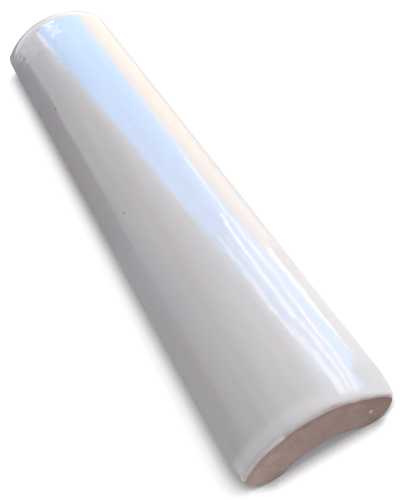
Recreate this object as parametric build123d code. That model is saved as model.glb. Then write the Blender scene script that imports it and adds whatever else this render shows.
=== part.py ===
from build123d import *
import math
import os

# Quarter round tile trim: one fired clay piece, glazed over its crown and rolled ends, bare below.
# Millimetres. +Y runs along the piece, +X across it and +Z up through the crown. The piece lies on
# its two foot flats, and the origin is on that resting plane, under the middle of the piece.

# Driving dimensions of the whole piece
LENGTH = 152.0  # six inch trim
CROWN_RADIUS = 19.5  # glazed outer arc
CROWN_HALF_ANGLE = 47.5  # degrees of that arc to each side of the top

# Driving dimensions of the clay wall
CROWN_THICKNESS = 8.9  # clay between the top of the crown and the hollow back
FLANK_LENGTH = 6.1  # bedding face from the glazed corner down to the foot
FLANK_SLOPE = 54.0  # degrees of that face below level
FOOT_WIDTH = 3.2  # flat that the piece lies on, on each side

# Driving dimensions of the softened edges
END_ROLL_LENGTH = 5.6  # how far back from each end the glazed surface starts to turn down
END_ROLL_DROP = 0.9  # how far it has turned down at the end face
GLAZE_CORNER_RADIUS = 1.5  # between the glazed arc and the flank
FOOT_OUTER_RADIUS = 2.7  # between the flank and the foot flat
FOOT_INNER_RADIUS = 3.4  # between the foot flat and the hollow back
CUT_EDGE_RADIUS = 0.4  # along the cut ends, where a sponge took off the burr

# Places that follow from them
HALF_LENGTH = LENGTH / 2
CORNER_X = CROWN_RADIUS * math.sin(math.radians(CROWN_HALF_ANGLE))
CORNER_Z = FLANK_LENGTH * math.sin(math.radians(FLANK_SLOPE))
ARC_CENTRE_Z = CORNER_Z - CROWN_RADIUS * math.cos(math.radians(CROWN_HALF_ANGLE))
FOOT_OUTER_X = CORNER_X - FLANK_LENGTH * math.cos(math.radians(FLANK_SLOPE))
FOOT_INNER_X = FOOT_OUTER_X - FOOT_WIDTH
TOP_Z = ARC_CENTRE_Z + CROWN_RADIUS
BACK_Z = TOP_Z - CROWN_THICKNESS

SPARE_CLAY = 2.0  # how far the blank stands out past the crown arc before the crown is turned
NEAR = 1e-3  # closer than this, two places count as the same


def soften(section, corner_x, radius):
    """Rounds the pair of ground-level corners of the section that stand corner_x to each side."""
    ground = section.vertices().filter_by_position(Axis.Y, -NEAR, NEAR)
    fillet([v for v in ground if abs(abs(v.X) - corner_x) < NEAR], radius)


def blank():
    """The extruded clay: feet, flanks and hollow back, with spare clay over the crown."""
    spare_x = CORNER_X + SPARE_CLAY * math.cos(math.radians(FLANK_SLOPE))
    spare_z = CORNER_Z + SPARE_CLAY * math.sin(math.radians(FLANK_SLOPE))
    roof_z = TOP_Z + SPARE_CLAY
    right_side = [(FOOT_INNER_X, 0), (FOOT_OUTER_X, 0), (spare_x, spare_z), (spare_x, roof_z)]
    left_side = [(-x, z) for x, z in reversed(right_side)]
    with BuildPart() as clay:
        with BuildSketch(Plane.XZ) as section:
            with BuildLine():
                Polyline(*right_side, *left_side)
                ThreePointArc(left_side[-1], (0, BACK_Z), right_side[0])
            make_face()
            soften(section, FOOT_OUTER_X, FOOT_OUTER_RADIUS)
            soften(section, FOOT_INNER_X, FOOT_INNER_RADIUS)
        extrude(amount=HALF_LENGTH, both=True)
    return clay.part


def crown_envelope():
    """The glazed surface, its straight length and its rolled ends, turned about the crown arc's axis."""
    roll_start = (CROWN_RADIUS, HALF_LENGTH - END_ROLL_LENGTH)
    roll_end = (CROWN_RADIUS - END_ROLL_DROP, HALF_LENGTH)
    with BuildPart() as envelope:
        with BuildSketch(Plane.XY.offset(ARC_CENTRE_Z)):
            with BuildLine():
                Line((0, 0), (CROWN_RADIUS, 0))
                Line((CROWN_RADIUS, 0), roll_start)
                TangentArc(roll_start, roll_end, tangent=(0, 1))
                Line(roll_end, (0, HALF_LENGTH))
                Line((0, HALF_LENGTH), (0, 0))
            make_face()
            mirror(about=Plane.XZ)
        revolve(axis=Axis((0, 0, ARC_CENTRE_Z), (0, 1, 0)))
    return envelope.part


def trim():
    """The blank turned down to its crown, with the glaze corners and the cut ends softened."""
    with BuildPart() as piece:
        add(blank())
        add(crown_envelope(), mode=Mode.INTERSECT)
        end_edges = piece.faces().filter_by(Plane.XZ).edges()
        along = ShapeList(edge for edge in piece.edges() if edge not in end_edges)
        glaze_corners = [edge for edge in along if abs(edge.center().X) > FOOT_OUTER_X + NEAR]
        fillet(glaze_corners, GLAZE_CORNER_RADIUS)
        fillet(piece.faces().filter_by(Plane.XZ).edges(), CUT_EDGE_RADIUS)
    return piece.part


os.makedirs("parts", exist_ok=True)
export_step(trim(), "parts/quarter_round_trim.step")
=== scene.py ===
from collections import namedtuple
import math

import bmesh
import bpy
import numpy as np
from mathutils import Matrix, Vector, noise


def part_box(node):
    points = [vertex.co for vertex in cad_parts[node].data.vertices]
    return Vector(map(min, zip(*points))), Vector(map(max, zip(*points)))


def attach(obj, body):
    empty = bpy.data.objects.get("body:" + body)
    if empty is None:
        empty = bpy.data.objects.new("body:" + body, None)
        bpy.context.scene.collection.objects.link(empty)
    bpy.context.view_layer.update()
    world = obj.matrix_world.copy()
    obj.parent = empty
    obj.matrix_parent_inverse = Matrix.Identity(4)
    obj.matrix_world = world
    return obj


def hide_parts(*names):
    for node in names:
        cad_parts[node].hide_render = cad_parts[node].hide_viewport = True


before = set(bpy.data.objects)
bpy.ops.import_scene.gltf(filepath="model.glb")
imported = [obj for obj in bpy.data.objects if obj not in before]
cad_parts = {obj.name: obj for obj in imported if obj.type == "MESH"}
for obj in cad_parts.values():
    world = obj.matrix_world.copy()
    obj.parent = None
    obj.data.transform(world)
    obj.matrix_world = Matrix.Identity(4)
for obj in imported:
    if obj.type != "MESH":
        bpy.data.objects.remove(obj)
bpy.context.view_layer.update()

NODE = "quarter_round_trim"
MM = 0.001

# The trim's section in millimetres. Its length and height come from the frame.
_, node_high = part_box(NODE)
HALF_LENGTH = node_high.y / MM
CROWN_TOP = node_high.z / MM
CROWN_RADIUS = 19.5
CROWN_HALF_ANGLE = math.radians(47.5)
CROWN_THICKNESS = 8.9
FLANK_SLOPE = math.radians(54.0)
FOOT_WIDTH = 3.2
GLAZE_CORNER_RADIUS = 1.5
FOOT_OUTER_RADIUS = 2.7
FOOT_INNER_RADIUS = 3.4
CUT_EDGE_RADIUS = 0.4
BARE_EDGE_RADIUS = 0.15  # the same edge where the clay is bare and stays crisp
END_ROLL_LENGTH = 5.6
END_ROLL_DROP = 0.9

# Places that follow from them
ARC_CENTRE_Z = CROWN_TOP - CROWN_RADIUS
CORNER_X = CROWN_RADIUS * math.sin(CROWN_HALF_ANGLE)
CORNER_Z = ARC_CENTRE_Z + CROWN_RADIUS * math.cos(CROWN_HALF_ANGLE)
FOOT_OUTER_X = CORNER_X - CORNER_Z / math.tan(FLANK_SLOPE)
FOOT_INNER_X = FOOT_OUTER_X - FOOT_WIDTH
BACK_Z = CROWN_TOP - CROWN_THICKNESS
BACK_RADIUS = (FOOT_INNER_X**2 + BACK_Z**2) / (2 * BACK_Z)
BACK_CENTRE_Z = BACK_Z - BACK_RADIUS
ROLL_RADIUS = (END_ROLL_DROP**2 + END_ROLL_LENGTH**2) / (2 * END_ROLL_DROP)
FLANK_DOWN = np.array([-math.cos(FLANK_SLOPE), -math.sin(FLANK_SLOPE)])
FLANK_OUT = np.array([math.sin(FLANK_SLOPE), -math.cos(FLANK_SLOPE)])
FLANK_ANGLE = math.pi - FLANK_SLOPE

# The glaze coat
GLAZE_ON_CROWN = 0.30
GLAZE_ON_END = 0.10
GLAZE_LIP = 0.60  # width over which the coat rounds down to the clay at its edge
THIN_ON_END = 1.5  # width over which the coat thins and lets the clay's colour through, at the far end
THIN_ON_FLANK = 0.7  # the same along a flank
GLAZE_DOWN_FLANK = -0.6  # how far past the glazed corner the coat runs; less than zero stops short
GLAZE_OVER_END = 0.93  # how far it laps in over the far end face from the crown
COAT_ROOT = 0.07  # how deep the edge of the coat is bedded in the clay
COAT_DEPTH = 0.09  # how deep the hidden side of the coat lies below the clay surface
FEATHER = 0.9  # length of flank over which the clay comes back out below the coat
FLANK_FULLNESS = 0.30  # how far the middle of a flank stands out past the flat from corner to foot
FLANK_BOW_POWER = 1.3  # 1 puts the fullest place half way up that run, and more puts it higher
NEAR = 1e-6  # closer than this, two places count as the same

# Relief: its size across, along and up, its height and its seed, which only chooses where the noise falls
DRAG_SIZE, DRAG_HEIGHT, DRAG_SEED = (1.3, 22.0, 1.3), 0.022, 3.1
GRAIN_SIZE, GRAIN_HEIGHT, GRAIN_SEED = (0.9, 1.3, 0.9), 0.016, 8.4
LUMP_SIZE, LUMP_HEIGHT, LUMP_SEED = (1.7, 1.7, 1.7), 0.035, 5.2
TOOTH_SIZE, TOOTH_HEIGHT, TOOTH_SEED = (0.6, 0.6, 0.6), 0.018, 1.7
WAVE_SIZE, WAVE_HEIGHT, WAVE_SEED = (9.0, 34.0, 9.0), 0.030, 21.0
RIPPLE_SIZE, RIPPLE_HEIGHT, RIPPLE_SEED = (5.0, 11.0, 5.0), 0.007, 33.0
CLAY_RELIEF = 0.024  # how far bare clay is set back, so that its relief lies mostly inside the section
END_GRAIN_RAMP = 0.25  # share of the way in from the rim over which an end face gets its full grain

# How far the coat's edge strays from its line, slowly and quickly, over what lengths, and its seeds
WANDER, WANDER_LENGTH = 0.13, 4.5
SMALL_WANDER, SMALL_WANDER_LENGTH, SMALL_WANDER_SEED = 0.05, 1.1, 4
FLANK_EDGE_SEED, FLANK_SIDE_SEED, END_EDGE_SEED = 5.1, 2.8, 11.3

# The coat over the near end: its lap, the width over which it thins, and a step in its edge. Places are
# angles round the crown from its top, in degrees. The longest lap is a run of glaze.
NEAR_LAPS = [
    (-47, 0.62), (-36, 0.66), (-30, 0.76), (-20, 0.93), (6, 0.93), (17, 0.94),
    (21, 1.00), (24.5, 1.25), (26.5, 0.97), (32, 1.00), (38, 0.85), (47, 0.74),
]
NEAR_THINNING = [(-47, 0.75), (-25, 0.9), (0, 1.25), (12, 1.4), (22, 1.0), (47, 0.85)]
STEP_ANGLE, STEP_WIDTH, STEP_RISE = -15.5, 1.2, 0.34
STEP_FADE = 5  # how many of its own widths the step takes to fade out beside itself

# A splash of glaze that dried on the bare near end
SPLASH_X, SPLASH_Z = 9.12, 3.10
SPLASH_RADIUS, SPLASH_HEIGHT, SPLASH_THINNESS = 0.47, 0.05, 0.62
SPLASH_NARROWNESS = 0.85  # its width as a share of its height on the face
SPLASH_LEAN, SPLASH_LOBES, SPLASH_TURN = 0.16, 0.09, 0.6  # how far it departs from round, and which way
SPLASH_RINGS, SPLASH_SPOKES = 7, 24

# Points of each stretch of the clay's section, both ends counted
CLAY_CROWN, CLAY_CORNER, CLAY_FLANK = 49, 9, 17
CLAY_FOOT, CLAY_FLAT, CLAY_HEEL, CLAY_BACK = 17, 7, 13, 39
FLANK_START = CLAY_CROWN + CLAY_CORNER - 2
FOOT_START = FLANK_START + CLAY_FLANK - 1
CAP_ROWS = 34

# Points of the coat's run over the section and of its laps over the ends
COAT_CROWN, COAT_CORNER, COAT_FLANK, COAT_LAP = 76, 24, 11, 9
COAT_EDGE_ZONE = 1.2  # width beside the flank edges where the points lie closer together
FLANK_CROWDING, LAP_CROWDING = 1.6, 1.5  # 1 spaces points evenly, and more crowds them at the coat's edge
EDGE_STEPS, ROLL_STEPS, STRAIGHT_STEPS = 7, 15, 116

# Finishes, as linear colours
GLAZE_COLOUR = (0.665, 0.650, 0.655, 1)
GLAZE_CLOUD_COLOUR = (0.640, 0.632, 0.645, 1)
GLAZE_STREAK_COLOUR = (0.630, 0.598, 0.606, 1)
GLAZE_THIN_COLOUR = (0.425, 0.35, 0.34, 1)
SPECK_COLOUR = (0.30, 0.24, 0.22, 1)
PINHOLE_COLOUR = (0.13, 0.10, 0.09, 1)
PINK_COLOUR = (0.75, 0.67, 0.645, 1)
PALE_COLOUR = (0.85, 0.84, 0.84, 1)
CLAY_COLOUR = (0.385, 0.287, 0.247, 1)
CLAY_DARK_COLOUR = (0.335, 0.243, 0.208, 1)
CLAY_PALE_COLOUR = (0.47, 0.365, 0.322, 1)
GROG_COLOUR = (0.55, 0.46, 0.41, 1)
PORE_COLOUR = (0.12, 0.085, 0.075, 1)
STAIN_COLOUR = (0.20, 0.135, 0.11, 1)
FLOOR_COLOUR = (0.84, 0.84, 0.84, 1)
FLOOR_PAINTED_SHADOW_COLOUR = (0.29, 0.29, 0.305, 1)
WALL_COLOUR = (1.0, 1.0, 1.0, 1)

# Painted shade: tints that the clay is multiplied by round its right near corner, where it falls in shade,
# each with the distance up to which it is full and the distance where it has faded out
CLAY_CORNER_SHADE_TINTS = [((15, 27), (0.80, 0.77, 0.765, 1)), ((2, 9), (0.86, 0.79, 0.77, 1))]

# Pattern in the glaze, in millimetres: sizes across, along and up, spacing of specks, and depths
CLOUD_SIZE, STREAK_SIZE, GLOSS_SIZE = (14, 30, 14), (2.6, 55, 2.6), (5, 9, 5)
RIM_SIZE, RIM_RAG = (0.9, 0.9, 0.9), 0.09
STROKE_SIZE, STROKE_DEPTH = (1.5, 26, 1.5), 0.028
PEEL_SIZE, PEEL_DEPTH = (2.2, 3.2, 2.2), 0.032
SPECK_SPACING, PIT_DEPTH = 6.0, 0.08
GLAZE_ROUGHNESS, GLAZE_IOR = (0.055, 0.10), 1.52

# Pattern in the clay, in the same way
MOTTLE_SIZE, GRIT_SIZE, GRIT_DEPTH = (3.2, 4.5, 3.2), (0.34, 0.34, 0.34), 0.05
GROG_SPACING, PORE_SPACING, PORE_DEPTH = 1.3, 0.9, 0.10
STAIN_WIDTH = 1.5  # how far the stain beside the coat's edge reaches
CLAY_ROUGHNESS, CLAY_IOR = (0.84, 0.96), 1.40

# Marks in the glaze: place on the piece, radius, colour and whether it is a pit
GLAZE_SPOTS = [
    ((-9.73, 34.87, 8.66), 0.34, PINHOLE_COLOUR, True),
    ((-8.45, -12.57, 9.34), 0.26, PINHOLE_COLOUR, True),
    ((-12.89, -11.36, 6.40), 0.24, PALE_COLOUR, False),
    ((-7.93, -75.32, 8.82), 0.34, PINK_COLOUR, False),
]

# The camera, fitted to the photo's outline and end
CAMERA_AIM = (0.533, -30.479, 7.451)
CAMERA_DISTANCE = 162.168
CAMERA_AZIMUTH = math.radians(-6.937)
CAMERA_ELEVATION = math.radians(44.013)
CAMERA_ROLL = math.radians(-23.944)
CAMERA_LENS, CAMERA_SENSOR = 61.92, 36.0
CAMERA_CLIP = 0.01, 20.0  # nearest and farthest distance that it sees, in metres

# The floor and the wall behind it
FLOOR_HALF_WIDTH = 6000.0
FLOOR_GLOW, FLOOR_ROUGHNESS = 0.66, 0.9
CONTACT_REACH = 6.0  # how far from the piece the floor looks for what stands over it
CONTACT_OPENNESS = 0.48, 0.78  # how open the floor is where it has its painted contact shadow colour, and where its own
WALL_DISTANCE, WALL_HEIGHT, WALL_STEPS = 5500.0, 5000.0, 96

# The lights, with the key's place and size in metres
WORLD_LIGHT = (0.25, 0.246, 0.262, 1)
KEY_PLACE, KEY_SIZE, KEY_WATTS = (0.92, -0.02, 0.90), 1.5, 20.4

# The dome of light that the glaze mirrors. Its directions are in degrees, across from straight up towards
# +X and along towards +Y, and its light is a linear colour.
DOME_DISTANCE = 5000.0
FINE_ACROSS, FINE_ALONG, FINE_STEP = (-98, 104), (2, 89.6), 0.5  # where its points lie close together
COARSE_STEP, NEAR_SIDE_STEP = 4, 3  # and how far apart they lie elsewhere
ROOM_LIGHT = (1.0, 0.98, 1.02)
REAR_LIGHT = (0.75, 0.74, 0.76)
SKY_LIGHT, SKY_BY_FRAME = (0.85, 2.4, 4.5), (0.95, 2.7, 5.3)
WHITE_LIGHT, PALE_LIGHT, CREAM_LIGHT = (5.6, 5.7, 6.0), (4.6, 4.5, 4.9), (2.35, 1.8, 1.2)
STREAK_LIGHT, FINE_STREAK_LIGHT = (5.7, 5.7, 6.0), (5.4, 5.5, 5.9)
WINDOW_LEFT = [
    (-18.1, 63.1), (-15.1, 61.6), (-9.1, 60.7), (-5.1, 60), (-0.6, 58.5), (4.9, 56.6), (9.2, 54.7),
    (13.1, 53.2), (16.3, 51), (19.3, 49), (25.9, 46.7), (29.9, 44.6), (30.9, 42.5), (33.4, 40.8),
    (35.9, 38), (38.4, 36.7), (39.4, 34.7), (37.9, 19), (37.4, 10), (39.9, 5.5),
]
WINDOW_RIGHT = [
    (48, 3.8), (55, 4.6), (64, 8), (71, 14), (66, 22), (70, 30), (83, 34), (81, 36.2), (79, 38), (78, 41),
    (75, 43), (71, 45.6), (68, 49), (66, 53), (64, 56), (60.4, 59), (61, 62.4), (52, 67), (26, 64.8),
    (-4, 65.5),
]
STREAK = [
    (57, 46.3), (54.6, 45.4), (52.6, 44.4), (51.4, 41.8), (52.2, 39), (53, 37.6),
    (55, 36.5), (58, 34.6), (56, 26), (52, 14), (50.5, 7),
]
FINE_STREAK = [(65.5, 40), (66.6, 38.2), (65, 35.8), (65.9, 34.2), (62, 25), (58.7, 12.6), (57.5, 7)]

Station = namedtuple("Station", "y crown_radius inset across along")
Row = namedtuple("Row", "station points out from_flank from_rim")
Card = namedtuple("Card", "outline feather light")


def smooth_step(value, start, end):
    t = np.clip((np.asarray(value, float) - start) / (end - start), 0, 1)
    return t * t * (3 - 2 * t)


def ripple(x, y, z, size, seed):
    """Smooth noise between about -1 and 1, with features of the given sizes in millimetres."""
    place = Vector((x / size[0] + seed, y / size[1] - seed, z / size[2] + 0.5 * seed))
    return noise.noise(place)


def ripple_grid(points, size, seed):
    flat = [ripple(*p, size, seed) for p in points.reshape(-1, 3)]
    return np.array(flat).reshape(points.shape[:-1])


def arc(centre, radius, start, end, count):
    """Points of an arc in the section and the ways out of its centre; angles run from +Z towards +X."""
    angle = np.linspace(start, end, count)
    out = np.column_stack([np.sin(angle), np.cos(angle)])
    return np.asarray(centre) + radius * out, out


def line(start, end, normal, count):
    """Points of a straight stretch of the section, with one outward direction."""
    t = np.linspace(0, 1, count)[:, None]
    return np.asarray(start) * (1 - t) + np.asarray(end) * t, np.tile(normal, (count, 1))


def join(parts):
    """One run of points and normals from several that meet end to end."""
    points = np.vstack([parts[0][0]] + [p[1:] for p, _ in parts[1:]])
    normals = np.vstack([parts[0][1]] + [n[1:] for _, n in parts[1:]])
    return points, normals


def glaze_corner(crown_radius):
    """Centre of the round between the crown arc and the right flank, and the angle where it starts."""
    middle = np.array([0.0, ARC_CENTRE_Z])
    start = np.array([CORNER_X, CORNER_Z]) - FLANK_OUT * GLAZE_CORNER_RADIUS - middle
    reach = start @ FLANK_DOWN
    room = start @ start - (crown_radius - GLAZE_CORNER_RADIUS) ** 2
    centre = middle + start - FLANK_DOWN * (reach + math.sqrt(reach**2 - room))
    return centre, math.atan2(centre[0], centre[1] - ARC_CENTRE_Z)


def upper_half(crown_radius, crown_count, corner_count):
    """Right half of the glazed stretch of the section, from the top of the crown to the flank."""
    corner, turn = glaze_corner(crown_radius)
    return join([
        arc((0, ARC_CENTRE_Z), crown_radius, 0, turn, crown_count),
        arc(corner, GLAZE_CORNER_RADIUS, turn, FLANK_ANGLE, corner_count),
    ])


def bowed(points, out):
    """A run down to the floor that stands out past its flat, most of all just over half way up."""
    height = np.clip(points[:, 1:] / points[0, 1], 0, 1)
    return points + out * FLANK_FULLNESS * np.sin(math.pi * height**FLANK_BOW_POWER), out


def clay_half(crown_radius):
    """Right half of the whole section, from the top of the crown round to the middle of the back."""
    foot_x = FOOT_OUTER_X - FOOT_OUTER_RADIUS * math.tan(FLANK_SLOPE / 2)
    foot = np.array([foot_x, FOOT_OUTER_RADIUS])
    heel_rise = FOOT_INNER_RADIUS - BACK_CENTRE_Z
    heel_x = math.sqrt((BACK_RADIUS + FOOT_INNER_RADIUS) ** 2 - heel_rise**2)
    heel_turn = math.atan2(heel_x, heel_rise)
    back_points, back_in = arc((0, BACK_CENTRE_Z), BACK_RADIUS, heel_turn, 0, CLAY_BACK)
    upper = upper_half(crown_radius, CLAY_CROWN, CLAY_CORNER)
    return join([
        upper,
        bowed(*join([
            line(upper[0][-1], foot + FLANK_OUT * FOOT_OUTER_RADIUS, FLANK_OUT, CLAY_FLANK),
            arc(foot, FOOT_OUTER_RADIUS, FLANK_ANGLE, math.pi, CLAY_FOOT),
        ])),
        line((foot_x, 0), (heel_x, 0), (0, -1), CLAY_FLAT),
        arc((heel_x, FOOT_INNER_RADIUS), FOOT_INNER_RADIUS, math.pi, math.pi + heel_turn, CLAY_HEEL),
        (back_points, -back_in),
    ])


def end_drop(distance):
    """How far the crown has rolled down at a distance in from the end."""
    if distance >= END_ROLL_LENGTH:
        return 0.0
    return ROLL_RADIUS - math.sqrt(ROLL_RADIUS**2 - (END_ROLL_LENGTH - distance) ** 2)


def end_stations(side):
    """Stations from the rim of the end face at side -1 or 1, round its edge and up its roll."""
    stations = []
    for turn in np.linspace(0, math.pi / 2, EDGE_STEPS):
        distance = CUT_EDGE_RADIUS * (1 - math.cos(turn))
        inset = CUT_EDGE_RADIUS * (1 - math.sin(turn))
        radius = CROWN_RADIUS - end_drop(distance)
        y = side * (HALF_LENGTH - distance)
        stations.append(Station(y, radius, inset, math.sin(turn), side * math.cos(turn)))
    for distance in np.linspace(CUT_EDGE_RADIUS, END_ROLL_LENGTH, ROLL_STEPS)[1:]:
        tilt = math.asin((END_ROLL_LENGTH - distance) / ROLL_RADIUS)
        y = side * (HALF_LENGTH - distance)
        radius = CROWN_RADIUS - end_drop(distance)
        stations.append(Station(y, radius, 0.0, math.cos(tilt), side * math.sin(tilt)))
    return stations


def all_stations():
    """Every station from the near end face to the far one."""
    straight = np.linspace(-HALF_LENGTH + END_ROLL_LENGTH, HALF_LENGTH - END_ROLL_LENGTH, STRAIGHT_STEPS)
    middle = [Station(y, CROWN_RADIUS, 0.0, 1.0, 0.0) for y in straight[1:-1]]
    return end_stations(-1) + middle + end_stations(1)[::-1]


def place(points, out, station):
    """Section points set at a station, and the way the surface faces there."""
    drawn_in = points - out * np.reshape(station.inset, (-1, 1))
    y = np.full(len(points), station.y)
    where = np.column_stack([drawn_in[:, 0], y, drawn_in[:, 1]])
    along = np.full(len(points), station.along)
    facing = np.column_stack([out[:, 0] * station.across, along, out[:, 1] * station.across])
    return where, facing


def coat_thickness(station, cover):
    """Depth of the clay below the finished surface, where cover is 1 under the coat and 0 on bare clay."""
    return GLAZE_ON_END * station.along**2 + GLAZE_ON_CROWN * station.across**2 * cover


def edge_wander(along, seed):
    """How far the edge of the coat strays from its line, in millimetres, at a distance along that line."""
    slow = WANDER * ripple(along, 0, 0, (WANDER_LENGTH, 1, 1), seed)
    quick = SMALL_WANDER * ripple(along, 0, 0, (SMALL_WANDER_LENGTH, 1, 1), seed + SMALL_WANDER_SEED)
    return slow + quick


def flank_reach(y, side):
    """How far the coat runs down a flank at a place along the piece."""
    return GLAZE_DOWN_FLANK + edge_wander(y, FLANK_EDGE_SEED + FLANK_SIDE_SEED * side)


def clay_cover(down_flank, y, side):
    """1 on clay under the coat and 0 on bare clay, by distance down a flank."""
    reach = flank_reach(y, side)
    return 1 - smooth_step(down_flank, reach - 0.1, reach + FEATHER)


def whole_ring(right, left):
    """Values round the whole ring, from those of its right half and of its left half."""
    return np.concatenate([right, left[-2:0:-1]])


def crisp_edge(where, out, cover, station):
    """Points of a ring at an end's rounded edge, moved outwards where bare clay keeps the edge crisp."""
    sharper = (CUT_EDGE_RADIUS - BARE_EDGE_RADIUS) * (1 - cover)[:, None]
    outwards = np.column_stack([out[:, 0], np.zeros(len(out)), out[:, 1]])
    moved = where + outwards * sharper * (1 - station.across)
    moved[:, 1] += math.copysign(1 - abs(station.along), station.y) * sharper[:, 0]
    return moved


def clay_ring(station):
    """One closed ring of clay at a station, and how far past the coat's edge each of its points lies.

    The clay is sunk under the coat, and has the drag lines and grain of pressed clay where it is bare.
    """
    points, out = clay_half(station.crown_radius)
    steps = np.linalg.norm(np.diff(points, axis=0), axis=1)
    down_flank = np.concatenate([[0], np.cumsum(steps)])
    down_flank -= down_flank[FLANK_START]
    flip = np.array([-1.0, 1.0])
    points = np.vstack([points, points[-2:0:-1] * flip])
    out = np.vstack([out, out[-2:0:-1] * flip])
    cover = whole_ring(*[clay_cover(down_flank, station.y, side) for side in (1, -1)])
    past_glaze = whole_ring(*[down_flank - flank_reach(station.y, side) for side in (1, -1)])
    where, facing = place(points, out, station)
    if HALF_LENGTH - abs(station.y) < CUT_EDGE_RADIUS + NEAR:
        where = crisp_edge(where, out, cover, station)
    drag = ripple_grid(where, DRAG_SIZE, DRAG_SEED) * DRAG_HEIGHT
    grain = ripple_grid(where, GRAIN_SIZE, GRAIN_SEED) * GRAIN_HEIGHT
    bare = (1 - cover) * abs(station.across)
    depth = coat_thickness(station, cover) + (CLAY_RELIEF - drag - grain) * bare
    return where - facing * depth[:, None], past_glaze


def new_object(name, vertices, faces):
    """A smooth-shaded mesh object from points in millimetres."""
    mesh = bpy.data.meshes.new(name)
    mesh.from_pydata([tuple(v) for v in np.asarray(vertices) * MM], [], faces)
    work = bmesh.new()
    work.from_mesh(mesh)
    bmesh.ops.recalc_face_normals(work, faces=work.faces)
    work.to_mesh(mesh)
    work.free()
    mesh.polygons.foreach_set("use_smooth", [True] * len(mesh.polygons))
    piece = bpy.data.objects.new(name, mesh)
    bpy.context.scene.collection.objects.link(piece)
    return piece


def mark_points(piece, name, values):
    """Keeps a value at every point of a piece, for its finish to read."""
    piece.data.attributes.new(name, "FLOAT", "POINT").data.foreach_set("value", values)


def grid_faces(index):
    """Quads over a grid of vertex numbers, without the repeats where corners of a quad are one vertex."""
    quads = np.stack([index[:-1, :-1], index[:-1, 1:], index[1:, 1:], index[1:, :-1]], axis=-1)
    return [tuple(dict.fromkeys(quad)) for quad in quads.reshape(-1, 4).tolist()]


def end_grain(where):
    """Small ups and downs of the cut and sponged end face."""
    lumps = ripple_grid(where, LUMP_SIZE, LUMP_SEED) * LUMP_HEIGHT
    return lumps + ripple_grid(where, TOOTH_SIZE, TOOTH_SEED) * TOOTH_HEIGHT


def past_lap(points, side):
    """How far past the coat's edge each point of an end face lies."""
    section = points[:, [0, 2]]
    from_crown = CROWN_RADIUS - END_ROLL_DROP - np.hypot(section[:, 0], section[:, 1] - ARC_CENTRE_Z)
    return from_crown - lap_length(section, side)


def end_face(ring, side, first):
    """Points that fill an end face, in rows from its crown side to its back side, and their grid.

    first is the number that the first of these points gets. The grid's edge holds places in the ring.
    """
    size = len(ring)
    crown_side = np.arange(size - FOOT_START, size + FOOT_START + 1) % size
    back_side = np.arange(size - FOOT_START, FOOT_START - 1, -1)
    inner_count = len(crown_side) - 2
    index = np.empty((CAP_ROWS + 1, len(crown_side)), int)
    index[:, 0] = crown_side[0]
    index[:, -1] = crown_side[-1]
    index[0], index[-1] = crown_side, back_side
    index[1:-1, 1:-1] = first + np.arange((CAP_ROWS - 1) * inner_count).reshape(CAP_ROWS - 1, inner_count)
    down = np.linspace(0, 1, CAP_ROWS + 1)[1:-1, None, None]
    points = ring[crown_side[1:-1]] * (1 - down) + ring[back_side[1:-1]] * down
    from_edge = np.sin(math.pi * down[:, :, 0]) * np.sin(np.linspace(0, math.pi, inner_count + 2))[1:-1]
    points[:, :, 1] += side * end_grain(points) * smooth_step(from_edge, 0, END_GRAIN_RAMP)
    return points.reshape(-1, 3), index


def clay_body():
    """The fired clay: its rings from end to end, and both end faces."""
    rings, past_glaze = [np.array(part) for part in zip(*map(clay_ring, all_stations()))]
    ring_count, ring_size = past_glaze.shape
    rows = np.arange(ring_count * ring_size).reshape(ring_count, ring_size)
    faces = grid_faces(np.column_stack([rows, rows[:, 0]]))
    vertices = [rings.reshape(-1, 3)]
    past = [past_glaze.reshape(-1)]
    for side, ring, base in ((-1, rings[0], 0), (1, rings[-1], rows[-1, 0])):
        first = sum(len(v) for v in vertices)
        points, index = end_face(ring, side, first)
        index[index < ring_size] += base
        vertices.append(points)
        past.append(past_lap(points, side))
        faces += grid_faces(index)
    body = new_object("clay_body", np.vstack(vertices), faces)
    mark_points(body, "past_glaze", np.concatenate(past))
    return body


def coat_run(station):
    """The coat's run over the section from edge to edge, with each point's distance from the nearer edge."""
    upper = upper_half(station.crown_radius, COAT_CROWN, COAT_CORNER)
    points, out = join([upper, line(upper[0][-1], upper[0][-1] + FLANK_DOWN, FLANK_OUT, 3)])
    path = np.concatenate([[0], np.cumsum(np.linalg.norm(np.diff(points, axis=0), axis=1))])
    near_edge = COAT_EDGE_ZONE * np.linspace(0, 1, COAT_FLANK) ** FLANK_CROWDING
    halves = []
    for side in (-1, 1):
        length = path[-3] + flank_reach(station.y, side)
        edge = np.concatenate([near_edge[:-1], np.linspace(COAT_EDGE_ZONE, length, COAT_CROWN)])[::-1]
        half = [np.interp(length - edge, path, values) for values in (*points.T, *out.T)]
        half = np.column_stack(half) * (side, 1, side, 1)
        halves.append((half[:, :2], half[:, 2:], edge))
    left, right = halves
    return tuple(np.concatenate([a[:0:-1], b]) for a, b in zip(left, right))


def round_crown(points):
    """The angle of each point of the section round the crown from its top, in degrees."""
    return np.degrees(np.arctan2(points[:, 0], points[:, 1] - ARC_CENTRE_Z))


def lap_length(points, side):
    """How far the coat laps in over the end face at side -1 or 1, at each point of its run."""
    wander = np.array([edge_wander(x, END_EDGE_SEED + side) for x in points[:, 0]])
    if side > 0:
        return GLAZE_OVER_END + wander
    angle = round_crown(points)
    past_step = smooth_step(angle, STEP_ANGLE - STEP_WIDTH / 2, STEP_ANGLE + STEP_WIDTH / 2)
    near_step = np.exp(-(((angle - STEP_ANGLE) / (STEP_FADE * STEP_WIDTH)) ** 2))
    return np.interp(angle, *zip(*NEAR_LAPS)) + wander + STEP_RISE * (0.5 - past_step) * near_step


def thinning(row):
    """The width over which the coat thins towards its edge on the end, at each point of a row."""
    if row.station.y > 0:
        return THIN_ON_END
    return np.interp(round_crown(row.points), *zip(*NEAR_THINNING))


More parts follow.
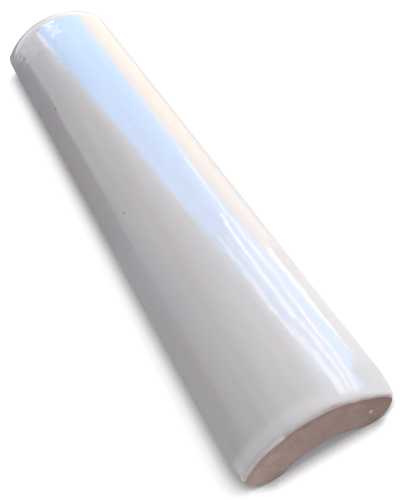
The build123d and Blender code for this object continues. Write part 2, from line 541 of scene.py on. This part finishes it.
def lap_rows(station, side):
    """Rows of the coat on an end face, from its edge there out to the rim of the face."""
    points, out, from_flank = coat_run(station)
    spare = lap_length(points, side) - CUT_EDGE_RADIUS
    rows = []
    for t in np.linspace(0, 1, COAT_LAP)[:-1] ** LAP_CROWDING:
        inset = CUT_EDGE_RADIUS + spare * (1 - t)
        rows.append(Row(station._replace(inset=inset), points, out, from_flank, spare * t))
    return rows


def coat_rows():
    """Every row of the coat, from its edge on the near end face to its edge on the far one."""
    stations = all_stations()
    places = [(s.crown_radius - s.inset, s.y) for s in stations]
    steps = [math.dist(a, b) for a, b in zip(places, places[1:])]
    travelled = np.concatenate([[0], np.cumsum(steps)])
    rows = []
    for station, distance in zip(stations, travelled):
        points, out, from_flank = coat_run(station)
        near = lap_length(points, -1) - CUT_EDGE_RADIUS + distance
        far = lap_length(points, 1) - CUT_EDGE_RADIUS + travelled[-1] - distance
        rows.append(Row(station, points, out, from_flank, np.minimum(near, far)))
    return lap_rows(stations[0], -1) + rows + lap_rows(stations[-1], 1)[::-1]


def lip(distance):
    """Share of the coat's full thickness at a distance in from its edge."""
    short = 1 - np.clip(distance / GLAZE_LIP, 0, 1)
    return np.sqrt(1 - short**2)


def glaze_waves(where):
    """Slow waves in the fired glaze, which bend what it mirrors."""
    waves = ripple_grid(where, WAVE_SIZE, WAVE_SEED) * WAVE_HEIGHT
    return waves + ripple_grid(where, RIPPLE_SIZE, RIPPLE_SEED) * RIPPLE_HEIGHT


def coat_layers(row):
    """A row's points on the coat's outer side and on its hidden side, and 1 at its edge falling to 0."""
    where, facing = place(row.points, row.out, row.station)
    full = coat_thickness(row.station, 1.0)
    level = lip(row.from_flank) * lip(row.from_rim)
    root = np.where(level < 1e-3, COAT_ROOT, 0)
    sunk = full * (1 - level) + root - glaze_waves(where) * level
    rim = 1 - np.clip(np.minimum(row.from_flank / THIN_ON_FLANK, row.from_rim / thinning(row)), 0, 1)
    return where - facing * sunk[:, None], where - facing * (full + COAT_DEPTH), rim


def glaze_coat():
    """The glaze as a thin closed shell over the crown, the tops of the flanks and the rims of the ends."""
    layers = [coat_layers(row) for row in coat_rows()]
    outer = np.array([layer[0] for layer in layers])
    hidden = np.array([layer[1] for layer in layers])[1:-1, 1:-1]
    rim = np.array([layer[2] for layer in layers])
    outer_index = np.arange(rim.size).reshape(rim.shape)
    hidden_index = outer_index.copy()
    hidden_index[1:-1, 1:-1] = rim.size + np.arange(hidden[:, :, 0].size).reshape(hidden.shape[:2])
    vertices = np.vstack([outer.reshape(-1, 3), hidden.reshape(-1, 3)])
    faces = grid_faces(outer_index) + grid_faces(hidden_index[:, ::-1])
    coat = new_object("glaze_coat", vertices, faces)
    rim_values = np.concatenate([rim.reshape(-1), np.zeros(len(vertices) - rim.size)])
    mark_points(coat, "rim", rim_values)
    return coat


def glaze_splash():
    """A drop of glaze that dried on the bare near end."""
    rings, spokes = SPLASH_RINGS, SPLASH_SPOKES
    clay_y = -HALF_LENGTH + GLAZE_ON_END
    vertices = [(SPLASH_X, clay_y - SPLASH_HEIGHT, SPLASH_Z)]
    for ring in range(1, rings + 1):
        share = ring / rings
        depth = SPLASH_HEIGHT * math.sqrt(1 - share**2) - (COAT_ROOT if ring == rings else 0)
        for spoke in range(spokes):
            turn = 2 * math.pi * spoke / spokes
            lean = SPLASH_LEAN * math.sin(turn + SPLASH_TURN)
            radius = SPLASH_RADIUS * share * (1 + lean + SPLASH_LOBES * math.sin(3 * turn))
            x = SPLASH_X + SPLASH_NARROWNESS * radius * math.cos(turn)
            vertices.append((x, clay_y - depth, SPLASH_Z + radius * math.sin(turn)))
    faces = [(0, 1 + i, 1 + (i + 1) % spokes) for i in range(spokes)]
    rows = 1 + np.arange(rings * spokes).reshape(rings, spokes)
    faces += grid_faces(np.column_stack([rows, rows[:, 0]]))
    faces.append(tuple(rows[-1].tolist()))
    splash = new_object("glaze_splash", vertices, faces)
    mark_points(splash, "rim", [SPLASH_THINNESS] * len(vertices))
    return splash


class Finish:
    """A material's nodes, with short calls for those that its pattern uses. Sizes are in millimetres."""

    def __init__(self, name):
        self.material = bpy.data.materials.new(name)
        self.material.use_nodes = True
        self.tree = self.material.node_tree
        self.surface = self.tree.nodes["Principled BSDF"]
        self.place = self.add("ShaderNodeTexCoord").outputs["Object"]

    def add(self, kind, inputs=(), **settings):
        node = self.tree.nodes.new(kind)
        for name, value in settings.items():
            setattr(node, name, value)
        for name, value in dict(inputs).items():
            self.put(node.inputs[name], value)
        return node

    def put(self, socket, value):
        if isinstance(value, bpy.types.NodeSocket):
            self.tree.links.new(value, socket)
        else:
            socket.default_value = value

    def scaled(self, size):
        scale = [1 / (s * MM) for s in size]
        return self.add("ShaderNodeMapping", {"Vector": self.place, "Scale": scale}).outputs["Vector"]

    def noise(self, size, detail=2.0):
        """Cloudy noise around 0.5 with features of these sizes across, along and up."""
        inputs = {"Vector": self.scaled(size), "Scale": 1.0, "Detail": detail}
        return self.add("ShaderNodeTexNoise", inputs).outputs["Fac"]

    def cells(self, size):
        """Distance from scattered points that lie about this far apart, as a share of that."""
        inputs = {"Vector": self.scaled((size, size, size)), "Scale": 1.0}
        return self.add("ShaderNodeTexVoronoi", inputs).outputs["Distance"]

    def from_spot(self, spot):
        """Distance from one place on the piece, in metres."""
        point = [c * MM for c in spot]
        node = self.add("ShaderNodeVectorMath", {0: self.place, 1: point}, operation="DISTANCE")
        return node.outputs["Value"]

    def ramp(self, value, start, end, low=0.0, high=1.0):
        """low at start, high at end, and a smooth change between them."""
        inputs = {"Value": value, "From Min": start, "From Max": end, "To Min": low, "To Max": high}
        return self.add("ShaderNodeMapRange", inputs, interpolation_type="SMOOTHSTEP").outputs["Result"]

    def maths(self, operation, a, b):
        return self.add("ShaderNodeMath", {0: a, 1: b}, operation=operation).outputs["Value"]

    def mix(self, share, first, second, kind="MIX"):
        """first where share is 0 and second where it is 1, as colours."""
        colours = {"Color1": first, "Color2": second}
        return self.add("ShaderNodeMixRGB", {"Fac": share, **colours}, blend_type=kind).outputs["Color"]

    def bump(self, height, depth, below=None):
        """Bumps this deep, in millimetres, for heights from 0 to 1."""
        inputs = {"Height": height, "Distance": depth * MM, "Strength": 1.0}
        if below is not None:
            inputs["Normal"] = below
        return self.add("ShaderNodeBump", inputs).outputs["Normal"]


def glaze_finish():
    """Glossy off-white glaze: faint clouds, orange peel, pinholes, and clay showing where it thins."""
    finish = Finish("white_glaze")
    clouds = finish.ramp(finish.noise(CLOUD_SIZE), 0.35, 0.65)
    colour = finish.mix(clouds, GLAZE_COLOUR, GLAZE_CLOUD_COLOUR)
    streaks = finish.ramp(finish.noise(STREAK_SIZE), 0.42, 0.66, 0.0, 0.6)
    colour = finish.mix(streaks, colour, GLAZE_STREAK_COLOUR)
    rim = finish.add("ShaderNodeAttribute", attribute_name="rim").outputs["Fac"]
    ragged = finish.ramp(finish.noise(RIM_SIZE, 3.0), 0.2, 0.8, -RIM_RAG, RIM_RAG)
    broken = finish.maths("ADD", rim, ragged)
    colour = finish.mix(finish.ramp(broken, 0.06, 0.72), colour, GLAZE_THIN_COLOUR)
    specks = finish.ramp(finish.cells(SPECK_SPACING), 0.012, 0.020, 0.45, 0.0)
    colour = finish.mix(specks, colour, SPECK_COLOUR)
    pits = 0.0
    for spot, radius, tint, pitted in GLAZE_SPOTS:
        mark = finish.ramp(finish.from_spot(spot), radius * MM * 0.5, radius * MM, 1.0, 0.0)
        colour = finish.mix(mark, colour, tint)
        if pitted:
            pits = finish.maths("MAXIMUM", pits, mark)
    strokes = finish.bump(finish.noise(STROKE_SIZE, 1.0), STROKE_DEPTH)
    peel = finish.bump(finish.noise(PEEL_SIZE, 1.0), PEEL_DEPTH, strokes)
    pitted = finish.bump(finish.maths("SUBTRACT", 1.0, pits), PIT_DEPTH, peel)
    roughness = finish.ramp(finish.noise(GLOSS_SIZE), 0.3, 0.7, *GLAZE_ROUGHNESS)
    finish.put(finish.surface.inputs["Base Color"], colour)
    finish.put(finish.surface.inputs["Roughness"], roughness)
    finish.put(finish.surface.inputs["Normal"], pitted)
    finish.surface.inputs["IOR"].default_value = GLAZE_IOR
    return finish.material


def clay_finish():
    """Matt bare clay: mottled, with fine grog, pale and dark grains, pores, and painted shade round its
    right near corner.
    """
    finish = Finish("bare_clay")
    mottle = finish.ramp(finish.noise(MOTTLE_SIZE, 4.0), 0.35, 0.65)
    colour = finish.mix(mottle, CLAY_COLOUR, CLAY_DARK_COLOUR)
    grain = finish.noise(GRIT_SIZE, 3.0)
    colour = finish.mix(finish.ramp(grain, 0.35, 0.75, 0.0, 0.55), colour, CLAY_PALE_COLOUR)
    grog = finish.ramp(finish.cells(GROG_SPACING), 0.06, 0.10, 0.75, 0.0)
    colour = finish.mix(grog, colour, GROG_COLOUR)
    pores = finish.ramp(finish.cells(PORE_SPACING), 0.05, 0.11, 1.0, 0.0)
    colour = finish.mix(finish.maths("MULTIPLY", pores, 0.6), colour, PORE_COLOUR)
    past_glaze = finish.add("ShaderNodeAttribute", attribute_name="past_glaze").outputs["Fac"]
    to_corner = finish.from_spot((CORNER_X, -HALF_LENGTH, CORNER_Z))
    # Painted shade: the clay is darkened round its right near corner.
    for (inner, outer), tint in CLAY_CORNER_SHADE_TINTS:
        share = finish.ramp(to_corner, inner * MM, outer * MM, 1.0, 0.0)
        colour = finish.mix(share, colour, tint, "MULTIPLY")
    edge = finish.ramp(past_glaze, 0.0, STAIN_WIDTH, 1.0, 0.0)
    stain = finish.maths("MULTIPLY", edge, finish.ramp(grain, 0.2, 0.7, 0.26, 0.46))
    colour = finish.mix(stain, colour, STAIN_COLOUR)
    tooth = finish.bump(grain, GRIT_DEPTH)
    pitted = finish.bump(finish.maths("SUBTRACT", 1.0, pores), PORE_DEPTH, tooth)
    finish.put(finish.surface.inputs["Base Color"], colour)
    finish.put(finish.surface.inputs["Normal"], pitted)
    finish.put(finish.surface.inputs["Roughness"], finish.ramp(grain, 0.3, 0.7, *CLAY_ROUGHNESS))
    finish.surface.inputs["IOR"].default_value = CLAY_IOR
    return finish.material


def strip(path, width):
    """Outline of a strip of the given width, in degrees, along a path."""
    return [(a - width / 2, e) for a, e in path] + [(a + width / 2, e) for a, e in path[::-1]]


def room_cards():
    """The room round the window: its near half, its left side, the light low down and what is over it."""
    dark_edge = [(-58, 55), (-56.5, 60.5), (-56.5, 63.2)]
    left_ceiling = [(-56, 62.6), (-36, 62.4), (-17, 62.4), (-12, 90)]
    right_ceiling = [(26, 65.5), (52, 67.5), (62, 64), (181, 62), (181, 90)]
    return [
        Card([(-200, -12), (200, -12), (200, -100), (-200, -100)], 20.0, REAR_LIGHT),
        Card([(-181, 18), (-60, 18), (-60, 52), (-181, 52)], 7.0, (0.52, 0.49, 0.53)),
        Card([(-181, 48), (-60, 48), *dark_edge, (-181, 63.2)], 1.2, (0.05, 0.04, 0.07)),
        Card([(-181, 14), (181, 14), (181, 2), (-181, 2)], 16.0, (2.6, 2.6, 2.6)),
        Card([(-181, 64), *left_ceiling, (-181, 90)], 1.4, (2.0, 2.0, 2.1)),
        Card([(-22, 66.0), *right_ceiling, (-22, 90)], 1.2, (2.0, 1.9, 1.9)),
    ]


def right_side_cards():
    """The cream side of the room to the right of the window, its paler and darker parts, and its foot."""
    crease = [(79, 62), (75, 59), (72.5, 57), (76, 54), (80, 51), (83, 47)]
    glare = [(74, 43), (84, 42.5), (88, 38.5), (91, 33.8), (85, 33), (80, 36), (76, 38)]
    return [
        Card([(58, 64), (60, 59), (64, 54), (68, 48), (74, 43), (181, 41), (181, 64)], 1.0, CREAM_LIGHT),
        Card([(98, 64), (97, 57), (96, 48), (97, 43), (181, 41), (181, 64)], 2.0, (0.9, 0.8, 0.7)),
        Card(strip(crease, 2.2), 1.2, (1.9, 1.75, 1.7)),
        Card(glare, 0.8, (3.9, 3.6, 3.2)),
        Card([(86, 42), (181, 41), (181, 8), (88, 8)], 4.0, (1.2, 1.05, 1.0)),
        Card([(60, 30), (181, 38), (181, 3), (60, 3)], 8.0, (0.35, 0.33, 0.35)),
    ]


def window_cards():
    """The glow by the window's left side, the sky in it, and the brighter and deeper parts of that sky."""
    by_frame = [(a + 6, e) for a, e in WINDOW_LEFT[4:17]]
    return [
        Card(strip(WINDOW_LEFT, 12.0), 6.0, (2.0, 2.0, 2.0)),
        Card(WINDOW_LEFT + WINDOW_RIGHT, 0.4, SKY_LIGHT),
        Card(strip(by_frame, 11.0), 3.0, SKY_BY_FRAME),
        Card([(36, 64), (58, 64), (64, 50), (70, 40), (44, 42), (30, 54)], 14.0, (0.4, 1.95, 4.5)),
        Card([(38, 45), (70, 44), (76, 37), (66, 30), (64, 14), (60, 5), (40, 5)], 6.0, (1.5, 2.9, 4.9)),
    ]


def streak_cards():
    """White streaks: at the window's far end, down its right side, and along its lower half."""
    far_left = [(-16.8, 63.5), (-16, 62.8), (-13.4, 62.3), (-10.6, 61.9), (-9.2, 61.6)]
    right_side = [(61.5, 51), (62.7, 48), (63.6, 46), (64.5, 44), (67, 42), (69, 40.5)]
    left_side = [(34, 45), (37, 42.6), (38.5, 41.2), (37, 39.8), (39, 37.4), (42, 36.2)]
    lowest = [(41.5, 37), (46, 35), (46.5, 28), (44.5, 16), (43.5, 6)]
    return [
        Card(strip(far_left, 6.5), 1.0, (4.3, 4.5, 5.2)),
        Card([(0, 63.3), (14, 63.6), (20, 63.4), (18, 64.2), (4, 64.6)], 0.5, (5.4, 5.6, 6.0)),
        Card([(-5, 64.3), (22, 63.8), (24, 65.5), (-4, 66.5)], 0.6, WHITE_LIGHT),
        Card(strip(right_side, 3.6), 1.0, (4.6, 4.7, 5.0)),
        Card(strip(left_side, 3.2), 0.8, (5.2, 5.2, 5.4)),
        Card(strip([(42, 44.5), (46, 43), (49, 41.5)], 1.6), 0.8, PALE_LIGHT),
        Card(strip(STREAK, 4.2), 1.2, STREAK_LIGHT),
        Card(strip(FINE_STREAK, 2.6), 0.8, FINE_STREAK_LIGHT),
        Card(strip(lowest, 7.0), 1.0, (5.8, 5.8, 6.0)),
    ]


def outer_cards():
    """Dimmer places past both sides and at the far end, which the piece mirrors along its outline."""
    return [
        Card([(-181, 62.8), (-74, 62.8), (-84, 72), (-100, 90), (-181, 90)], 4.0, (0.3, 0.3, 0.33)),
        Card([(112, 41), (181, 41), (181, 90), (112, 90)], 6.0, (0.75, 0.72, 0.70)),
        Card([(-181, 41), (-112, 41), (-112, 90), (-181, 90)], 6.0, (0.45, 0.45, 0.47)),
        Card([(-112, 82), (112, 82), (112, 90), (-112, 90)], 6.0, (1.2, 1.2, 1.2)),
        Card([(-200, 8), (-116, 8), (-116, 76), (-200, 76)], 8.0, (0.22, 0.22, 0.24)),
    ]


def from_outline(outline, across, along):
    """Distance from the outline of a card, less than zero inside it, in degrees."""
    nearest = np.full(across.shape, np.inf)
    inside = np.zeros(across.shape, bool)
    for (x0, y0), (x1, y1) in zip(outline, outline[1:] + outline[:1]):
        dx, dy = x1 - x0, y1 - y0
        t = np.clip(((across - x0) * dx + (along - y0) * dy) / (dx * dx + dy * dy), 0, 1)
        nearest = np.minimum(nearest, np.hypot(across - x0 - t * dx, along - y0 - t * dy))
        if dy:
            crossed = ((y0 > along) != (y1 > along)) & (across < x0 + dx * (along - y0) / dy)
            inside ^= crossed
    return np.where(inside, -nearest, nearest)


def dome_grid():
    """Directions across and along of the dome's points, over a grid."""
    left, right = FINE_ACROSS
    finely = np.arange(left, right, FINE_STEP)
    all_across = [*range(-180, left, COARSE_STEP), *finely, *range(right, 181, COARSE_STEP)]
    low, high = FINE_ALONG
    all_along = [*range(-89, low, NEAR_SIDE_STEP), *np.arange(low, high, FINE_STEP)]
    return np.meshgrid(all_across, all_along)


def dome_light(across, along):
    """Light at each point of the dome, with every card laid over those before it."""
    light = np.tile(ROOM_LIGHT, (*across.shape, 1))
    for card in room_cards() + right_side_cards() + window_cards() + streak_cards() + outer_cards():
        inside = -from_outline(card.outline, across, along)
        share = smooth_step(inside, -card.feather / 2, card.feather / 2)[..., None]
        light = light * (1 - share) + np.array(card.light) * share
    return light


def studio_dome():
    """The cards and the soft light round them, seen only in mirror reflections."""
    across, along = dome_grid()
    light = dome_light(across, along)
    a, e = np.radians(across), np.radians(along)
    out = np.stack([np.cos(e) * np.sin(a), np.sin(e), np.cos(e) * np.cos(a)], axis=-1)
    index = np.arange(across.size).reshape(across.shape)
    dome = new_object("studio_dome", (out * DOME_DISTANCE).reshape(-1, 3), grid_faces(index))
    colours = np.concatenate([light, np.ones((*across.shape, 1))], axis=-1)
    dome.data.attributes.new("light", "FLOAT_COLOR", "POINT").data.foreach_set("color", colours.reshape(-1))
    finish = Finish("studio_cards")
    glow = finish.add("ShaderNodeAttribute", attribute_name="light").outputs["Color"]
    emission = finish.add("ShaderNodeEmission", {"Color": glow, "Strength": 1.0})
    finish.put(finish.tree.nodes["Material Output"].inputs["Surface"], emission.outputs["Emission"])
    dome.data.materials.append(finish.material)
    dome.visible_camera = False
    dome.visible_diffuse = False
    dome.visible_shadow = False


def floor():
    half = FLOOR_HALF_WIDTH
    corners = [(-half, -half, 0), (half, -half, 0), (half, half, 0), (-half, half, 0)]
    plane = new_object("floor", corners, [(0, 1, 2, 3)])
    finish = Finish("pale_floor")
    # Painted contact shadow: the floor's colour and glow darken where the piece stands close over it.
    open_above = finish.add("ShaderNodeAmbientOcclusion", {"Distance": CONTACT_REACH * MM}).outputs["AO"]
    colour = finish.mix(finish.ramp(open_above, *CONTACT_OPENNESS), FLOOR_PAINTED_SHADOW_COLOUR, FLOOR_COLOUR)
    finish.put(finish.surface.inputs["Base Color"], colour)
    finish.put(finish.surface.inputs["Emission Color"], colour)
    finish.surface.inputs["Roughness"].default_value = FLOOR_ROUGHNESS
    finish.surface.inputs["Emission Strength"].default_value = FLOOR_GLOW
    plane.data.materials.append(finish.material)
    plane.visible_glossy = False


def wall():
    """A plain pale wall round the floor, which lights nothing and only stands behind the piece."""
    turns = np.linspace(0, 2 * math.pi, WALL_STEPS + 1)[:-1]
    ring = [(WALL_DISTANCE * math.cos(t), WALL_DISTANCE * math.sin(t)) for t in turns]
    vertices = [(x, y, z) for z in (0, WALL_HEIGHT) for x, y in ring]
    rows = np.arange(2 * len(ring)).reshape(2, len(ring))
    screen = new_object("wall", vertices, grid_faces(np.column_stack([rows, rows[:, 0]])))
    finish = Finish("pale_wall")
    emission = finish.add("ShaderNodeEmission", {"Color": WALL_COLOUR, "Strength": 1.0})
    finish.put(finish.tree.nodes["Material Output"].inputs["Surface"], emission.outputs["Emission"])
    screen.data.materials.append(finish.material)
    screen.visible_diffuse = False
    screen.visible_glossy = False
    screen.visible_shadow = False


def studio_light():
    world = bpy.data.worlds.new("studio")
    world.use_nodes = True
    world.node_tree.nodes["Background"].inputs["Color"].default_value = WORLD_LIGHT
    bpy.context.scene.world = world
    lamp = bpy.data.lights.new("key", "AREA")
    lamp.energy = KEY_WATTS
    lamp.size = KEY_SIZE
    key = bpy.data.objects.new("key", lamp)
    bpy.context.scene.collection.objects.link(key)
    key.location = KEY_PLACE
    key.rotation_euler = (-Vector(KEY_PLACE)).to_track_quat("-Z", "Y").to_euler()
    key.visible_glossy = False


def photo_camera():
    """The camera where the photograph was taken from, turned about its own axis as it was held."""
    level = math.cos(CAMERA_ELEVATION)
    rise = math.sin(CAMERA_ELEVATION)
    back = Vector((math.sin(CAMERA_AZIMUTH) * level, -math.cos(CAMERA_AZIMUTH) * level, rise))
    right = Vector((math.cos(CAMERA_AZIMUTH), math.sin(CAMERA_AZIMUTH), 0))
    up = back.cross(right)
    x_axis = right * math.cos(CAMERA_ROLL) + up * math.sin(CAMERA_ROLL)
    y_axis = up * math.cos(CAMERA_ROLL) - right * math.sin(CAMERA_ROLL)
    data = bpy.data.cameras.new("photo_camera")
    data.lens = CAMERA_LENS
    data.sensor_width = CAMERA_SENSOR
    data.clip_start, data.clip_end = CAMERA_CLIP
    camera = bpy.data.objects.new("photo_camera", data)
    bpy.context.scene.collection.objects.link(camera)
    at = (Vector(CAMERA_AIM) + back * CAMERA_DISTANCE) * MM
    camera.matrix_world = Matrix.Translation(at) @ Matrix((x_axis, y_axis, back)).transposed().to_4x4()
    bpy.context.scene.camera = camera


def dress(piece, material):
    piece.data.materials.append(material)
    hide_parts(NODE)
    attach(piece, "root")


glaze = glaze_finish()
dress(clay_body(), clay_finish())
dress(glaze_coat(), glaze)
dress(glaze_splash(), glaze)
studio_dome()
floor()
wall()
studio_light()
photo_camera()
bpy.context.scene.view_settings.view_transform = "Standard"
